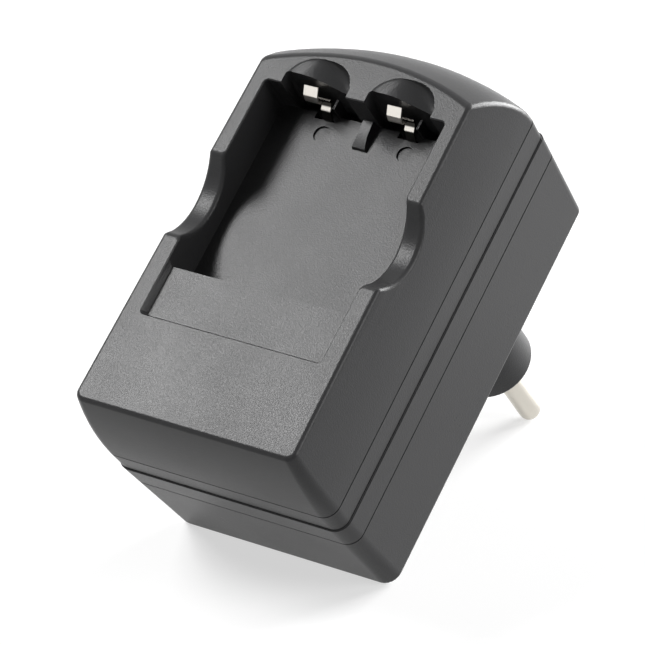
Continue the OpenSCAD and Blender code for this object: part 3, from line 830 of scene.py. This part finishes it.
def screw_tree() -> RuleTree:
    """Builds the tree that sets one self-tapping screw on each point.

    Returns:
        The tree.
    """
    rule = RuleTree(
        "tapping_screws",
        {
            "Turn": ("NodeSocketVector", (0.0, 0.0, 0.0)),
            "Head radius": ("NodeSocketFloat", 0.0021),
            "Head height": ("NodeSocketFloat", 0.0017),
            "Shank radius": ("NodeSocketFloat", 0.0011),
            "Shank length": ("NodeSocketFloat", 0.02),
            "Pitch": ("NodeSocketFloat", 0.0009),
        },
    )
    build = rule.build
    root_share = 0.9
    ridge_radius = 0.00016
    blade_length, blade_width, blade_depth = 0.0026, 0.0006, 0.0014
    head = build.add("GeometryNodeMeshCylinder", {"Vertices": 40})
    shank = build.add("GeometryNodeMeshCylinder", {"Vertices": 24})
    thread = build.add("GeometryNodeCurveSpiral", {"Resolution": 20})
    turns = build.add("ShaderNodeMath", operation="DIVIDE")
    ridge = build.add("GeometryNodeCurvePrimitiveCircle", {"Resolution": 6, "Radius": ridge_radius})
    wound = build.add("GeometryNodeCurveToMesh", {"Fill Caps": True})
    wall = build.add("ShaderNodeMath", {1: root_share}, operation="MULTIPLY")
    half = build.add("ShaderNodeMath", {1: 0.5}, operation="MULTIPLY")
    up = build.add("ShaderNodeCombineXYZ")
    lift = build.add("GeometryNodeTransform")
    drop_half = build.add("ShaderNodeMath", {1: -0.5}, operation="MULTIPLY")
    down = build.add("ShaderNodeCombineXYZ")
    sink = build.add("GeometryNodeTransform")
    blade_a = build.add("GeometryNodeMeshCube", {"Size": (blade_length, blade_width, blade_depth)})
    blade_b = build.add("GeometryNodeMeshCube", {"Size": (blade_width, blade_length, blade_depth)})
    floor = build.add("ShaderNodeMath", {1: -1.0}, operation="MULTIPLY")
    low = build.add("ShaderNodeCombineXYZ")
    cross = build.add("GeometryNodeJoinGeometry")
    seat = build.add("GeometryNodeTransform")
    cut = build.add("GeometryNodeMeshBoolean", operation="DIFFERENCE")
    screw = build.add("GeometryNodeJoinGeometry")
    spread = build.add("GeometryNodeInstanceOnPoints")
    build.join(rule.size("Head radius"), head.inputs["Radius"])
    build.join(rule.size("Head height"), head.inputs["Depth"])
    build.join(rule.size("Shank radius"), wall.inputs[0])
    build.join(wall.outputs[0], shank.inputs["Radius"])
    build.join(rule.size("Shank length"), shank.inputs["Depth"])
    build.join(rule.size("Shank length"), turns.inputs[0])
    build.join(rule.size("Pitch"), turns.inputs[1])
    build.join(turns.outputs[0], thread.inputs["Rotations"])
    build.join(wall.outputs[0], thread.inputs["Start Radius"])
    build.join(wall.outputs[0], thread.inputs["End Radius"])
    build.join(rule.size("Shank length"), thread.inputs["Height"])
    build.join(thread.outputs["Curve"], wound.inputs["Curve"])
    build.join(ridge.outputs["Curve"], wound.inputs["Profile Curve"])
    build.join(rule.size("Shank length"), half.inputs[0])
    build.join(half.outputs[0], up.inputs["Z"])
    build.join(shank.outputs["Mesh"], lift.inputs["Geometry"])
    build.join(up.outputs["Vector"], lift.inputs["Translation"])
    build.join(rule.size("Head height"), drop_half.inputs[0])
    build.join(drop_half.outputs[0], down.inputs["Z"])
    build.join(head.outputs["Mesh"], sink.inputs["Geometry"])
    build.join(down.outputs["Vector"], sink.inputs["Translation"])
    build.join(rule.size("Head height"), floor.inputs[0])
    build.join(floor.outputs[0], low.inputs["Z"])
    build.join(blade_a.outputs["Mesh"], cross.inputs["Geometry"])
    build.join(blade_b.outputs["Mesh"], cross.inputs["Geometry"])
    build.join(cross.outputs["Geometry"], seat.inputs["Geometry"])
    build.join(low.outputs["Vector"], seat.inputs["Translation"])
    build.join(sink.outputs["Geometry"], cut.inputs["Mesh 1"])
    build.join(seat.outputs["Geometry"], cut.inputs["Mesh 2"])
    for part in (cut.outputs["Mesh"], lift.outputs["Geometry"], wound.outputs["Mesh"]):
        build.join(part, screw.inputs["Geometry"])
    build.join(rule.size("Guide"), spread.inputs["Points"])
    build.join(screw.outputs["Geometry"], spread.inputs["Instance"])
    build.join(rule.size("Turn"), spread.inputs["Rotation"])
    rule.close(spread.outputs["Instances"])
    return rule


@dataclass
class CaseScrews:
    """The four screws that hold the halves together, set from the rear.

    Attributes:
        node: their CAD node.
        across: distance of the posts from the centre line, in millimetres, as all sizes here.
        low_y: place of the lower posts.
        high_y: place of the upper posts.
        seat_z: height of the heads' seats.
        head_radius: radius of a head.
        head_height: height of a head.
        shank_radius: radius of a shank.
        reach: length of a shank.
        pitch: pitch of the thread.
        crease_degrees: angle above which an edge of a screw stays sharp.
    """

    node: str = "case_screws"
    across: float = 17.65
    low_y: float = 8.0
    high_y: float = 72.5
    seat_z: float = 19.4
    head_radius: float = 2.1
    head_height: float = 1.7
    shank_radius: float = 1.1
    reach: float = 18.2
    pitch: float = 0.9
    crease_degrees: float = 35.0

    def build(self, axes: CaseAxes, finishes: Finishes) -> bpy.types.Object:
        """Builds and dresses the screws, which then stand for their node.

        Args:
            axes: the case's axes.
            finishes: the materials.

        Returns:
            The finished piece.
        """
        posts = [(x, y) for x in (-self.across, self.across) for y in (self.low_y, self.high_y)]
        guide = bpy.data.meshes.new(self.node + "_points")
        guide.from_pydata([axes.point(x, y, self.seat_z) for x, y in posts], [], [])
        made = screw_tree().bake(
            guide,
            {
                "Turn": (axes.tilt, 0.0, 0.0),
                "Head radius": self.head_radius * MM,
                "Head height": self.head_height * MM,
                "Shank radius": self.shank_radius * MM,
                "Shank length": self.reach * MM,
                "Pitch": self.pitch * MM,
                "Finish": finishes.of(self.node),
            },
        )
        piece = joined("threaded_" + self.node, [made], self.crease_degrees)
        finishes.dress(piece, self.node)
        place_piece(piece, self.node, stands_for=True)
        return piece


def wire_tree() -> RuleTree:
    """Builds the tree of a coil of round wire along Z.

    Returns:
        The tree.
    """
    rule = RuleTree(
        "wound_wire",
        {
            "Coil radius": ("NodeSocketFloat", 0.005),
            "Coil length": ("NodeSocketFloat", 0.007),
            "Turns": ("NodeSocketFloat", 10.0),
            "Wire radius": ("NodeSocketFloat", 0.0002),
        },
    )
    build = rule.build
    coil = build.add("GeometryNodeCurveSpiral", {"Resolution": 28})
    profile = build.add("GeometryNodeCurvePrimitiveCircle", {"Resolution": 8})
    wire = build.add("GeometryNodeCurveToMesh", {"Fill Caps": True})
    build.join(rule.size("Turns"), coil.inputs["Rotations"])
    build.join(rule.size("Coil radius"), coil.inputs["Start Radius"])
    build.join(rule.size("Coil radius"), coil.inputs["End Radius"])
    build.join(rule.size("Coil length"), coil.inputs["Height"])
    build.join(rule.size("Wire radius"), profile.inputs["Radius"])
    build.join(coil.outputs["Curve"], wire.inputs["Curve"])
    build.join(profile.outputs["Curve"], wire.inputs["Profile Curve"])
    rule.close(wire.outputs["Mesh"])
    return rule


@dataclass
class WireCoil:
    """Turns of wire laid on a wound component.

    Attributes:
        node: the CAD node that carries the wire.
        start: case point of the coil's first turn, in millimetres, as all sizes here.
        along: case direction of the coil's axis.
        coil_radius: radius of the wire's centre line.
        length: length of the coil.
        wire_radius: radius of the wire.
        crease_degrees: angle above which an edge of the wire stays sharp.
    """

    node: str
    start: tuple[float, float, float]
    along: tuple[float, float, float]
    coil_radius: float
    length: float
    wire_radius: float
    crease_degrees: float = 60.0

    def build(self, rule: RuleTree, axes: CaseAxes, finishes: Finishes) -> bpy.types.Object:
        """Builds and dresses the turns, which ride beside their node.

        Args:
            rule: the tree of a coil of wire.
            axes: the case's axes.
            finishes: the materials.

        Returns:
            The finished piece.
        """
        made = rule.bake(
            bpy.data.meshes.new(self.node + "_guide"),
            {
                "Coil radius": self.coil_radius * MM,
                "Coil length": self.length * MM,
                "Turns": self.length / (2.0 * self.wire_radius),
                "Wire radius": self.wire_radius * MM,
                "Finish": finishes.of(self.node),
            },
        )
        turn = axes.way(*self.along).to_track_quat("Z", "Y").to_matrix().to_4x4()
        made.transform(Matrix.Translation(axes.point(*self.start)) @ turn)
        piece = joined(self.node + "_wire", [made], self.crease_degrees)
        finishes.dress(piece, self.node)
        place_piece(piece, self.node, stands_for=False)
        return piece


@dataclass(frozen=True)
class SoftLamp:
    """A soft square lamp that faces the charger.

    Attributes:
        name: name of the lamp.
        at: its place in metres.
        side: length of its side in metres.
        power: its power in watts.
    """

    name: str
    at: tuple[float, float, float]
    side: float
    power: float

    def make(self, aim: Vector) -> None:
        """Makes the lamp.

        Args:
            aim: the point that it faces.
        """
        data = bpy.data.lights.new(self.name, "AREA")
        data.shape = "SQUARE"
        data.size = self.side
        data.energy = self.power
        lamp = bpy.data.objects.new(self.name, data)
        bpy.context.scene.collection.objects.link(lamp)
        ahead = aim - Vector(self.at)
        turn = ahead.to_track_quat("-Z", "Y").to_matrix().to_4x4()
        lamp.matrix_world = Matrix.Translation(Vector(self.at)) @ turn


LAMPS = (
    SoftLamp("sheen", (-0.4923, -0.1386, 0.7716), 0.25, 3.5),
    SoftLamp("low_sheen", (-0.29, -0.19, 0.42), 0.12, 1.45),
    SoftLamp("behind", (0.32, 0.88, 0.3), 0.62, 22.0),
    SoftLamp("right", (0.95, 0.15, 0.45), 0.5, 4.6),
)


@dataclass
class Studio:
    """Camera, ground, surroundings and lamps.

    Attributes:
        eye: the camera's place in case axes, in millimetres.
        right: the picture's rightward way in case axes.
        up: the picture's upward way in case axes.
        focal_px: focal length in pixels of the photograph.
        frame_px: width of the photograph's frame in pixels.
        sensor_mm: width of the camera's sensor.
        near: distance in metres from which the camera sees.
        far: distance in metres up to which it sees.
        aim: the point in metres that the lamps face.
        floor_half: half the floor's side in metres.
        floor_shade: the floor's own grey.
        floor_glow: how much white the floor adds where it is seen.
        surround: strength of the surroundings as a light, nought for none.
    """

    eye: tuple[float, float, float] = (416.926, -210.624, 632.649)
    right: tuple[float, float, float] = (0.8145109, 0.4387925, -0.3795170)
    up: tuple[float, float, float] = (-0.2236614, 0.8411063, 0.4924589)
    focal_px: float = 4590.4
    frame_px: float = 645.0
    sensor_mm: float = 36.0
    near: float = 0.05
    far: float = 20.0
    aim: tuple[float, float, float] = (0.0, 0.0, 0.03)
    floor_half: float = 3.0
    floor_shade: float = 0.45
    floor_glow: float = 0.62
    surround: float = 0.0

    def camera(self, axes: CaseAxes) -> None:
        """Makes the scene's camera at the photograph's angle.

        Args:
            axes: the case's axes.
        """
        data = bpy.data.cameras.new("camera")
        data.sensor_width = self.sensor_mm
        data.lens = self.focal_px / self.frame_px * self.sensor_mm
        data.clip_start = self.near
        data.clip_end = self.far
        camera = bpy.data.objects.new("camera", data)
        bpy.context.scene.collection.objects.link(camera)
        right, up = axes.way(*self.right), axes.way(*self.up)
        turn = Matrix((right, up, right.cross(up))).transposed().to_4x4()
        camera.matrix_world = Matrix.Translation(axes.point(*self.eye)) @ turn
        bpy.context.scene.camera = camera

    @staticmethod
    def looked_at(build: TreeBuilder) -> bpy.types.NodeSocket:
        """Returns one where the camera, a mirrored ray or a refracted ray looks, else nought.

        Args:
            build: the builder of the material or world that asks.

        Returns:
            The output that says so.
        """
        path = build.add("ShaderNodeLightPath")
        either = build.add("ShaderNodeMath", operation="MAXIMUM")
        any_ray = build.add("ShaderNodeMath", operation="MAXIMUM")
        build.join(path.outputs["Is Camera Ray"], either.inputs[0])
        build.join(path.outputs["Is Glossy Ray"], either.inputs[1])
        build.join(either.outputs[0], any_ray.inputs[0])
        build.join(path.outputs["Is Transmission Ray"], any_ray.inputs[1])
        return any_ray.outputs[0]

    def ground(self) -> None:
        """Makes the pale floor, which shows white and keeps the charger's shadow."""
        half = self.floor_half
        mesh = bpy.data.meshes.new("ground")
        corners = [(-half, -half, 0), (half, -half, 0), (half, half, 0), (-half, half, 0)]
        mesh.from_pydata(corners, [], [(0, 1, 2, 3)])
        floor = bpy.data.objects.new("ground", mesh)
        bpy.context.scene.collection.objects.link(floor)
        material, build, shader = new_material("ground_white")
        shader.inputs["Base Color"].default_value = (*[self.floor_shade] * 3, 1.0)
        shader.inputs["Roughness"].default_value = 1.0
        shader.inputs["Specular IOR Level"].default_value = 0.0
        level = build.add("ShaderNodeMath", {1: self.floor_glow}, operation="MULTIPLY")
        glow = build.add("ShaderNodeEmission")
        both = build.add("ShaderNodeAddShader")
        build.join(self.looked_at(build), level.inputs[0])
        build.join(level.outputs[0], glow.inputs["Strength"])
        build.join(shader.outputs[0], both.inputs[0])
        build.join(glow.outputs[0], both.inputs[1])
        build.join(both.outputs[0], material.node_tree.nodes["Material Output"].inputs["Surface"])
        mesh.materials.append(material)

    def world(self) -> None:
        """Makes the surroundings: white where they are seen, and no light of their own."""
        world = bpy.data.worlds.new("surroundings")
        bpy.context.scene.world = world
        world.use_nodes = True
        build = TreeBuilder(world.node_tree)
        back = world.node_tree.nodes["Background"]
        back.inputs["Color"].default_value = (1.0, 1.0, 1.0, 1.0)
        level = build.add("ShaderNodeMapRange", {"To Min": self.surround, "To Max": 1.0})
        build.join(self.looked_at(build), level.inputs["Value"])
        build.join(level.outputs["Result"], back.inputs["Strength"])

    def build(self, axes: CaseAxes) -> None:
        """Makes the whole studio.

        Args:
            axes: the case's axes.
        """
        bpy.context.scene.view_settings.view_transform = "Standard"
        self.camera(axes)
        self.ground()
        self.world()
        for lamp in LAMPS:
            lamp.make(Vector(self.aim))


def main() -> None:
    """Builds and dresses every piece and sets up the studio."""
    logging.basicConfig(level=logging.INFO, format="%(name)s: %(message)s")
    axes = CaseAxes(frame["record"]["mounts"])
    finishes = Finishes(axes)
    for node, item in frame["nodes"].items():
        finishes.dress(item, node)
        log.info("dressed %s in %s", node, finishes.slots[node])
    pieces = [MouldedShell(node).build(finishes) for node in ("front_cover", "rear_housing")]
    strip = strip_tree()
    for side, pocket_x in (("left", -POCKET_X), ("right", POCKET_X)):
        spring = ContactSpring(f"contact_spring_{side}", pocket_x)
        pieces.append(spring.build(strip, axes, finishes))
    pieces.append(CaseScrews().build(axes, finishes))
    wire = wire_tree()
    coils = (
        WireCoil(
            node="transformer_winding",
            start=(0.0, 25.7, 19.6),
            along=(0.0, 1.0, 0.0),
            coil_radius=5.3,
            length=6.6,
            wire_radius=0.22,
        ),
        WireCoil(
            node="input_choke",
            start=(14.1, 41.0, 28.5),
            along=(0.0, 0.0, -1.0),
            coil_radius=3.4,
            length=4.9,
            wire_radius=0.25,
        ),
    )
    pieces.extend(coil.build(wire, axes, finishes) for coil in coils)
    for piece in pieces:
        log.info("built %s with %d faces", piece.name, len(piece.data.polygons))
    Studio().build(axes)


if __name__ == "__main__":
    main()
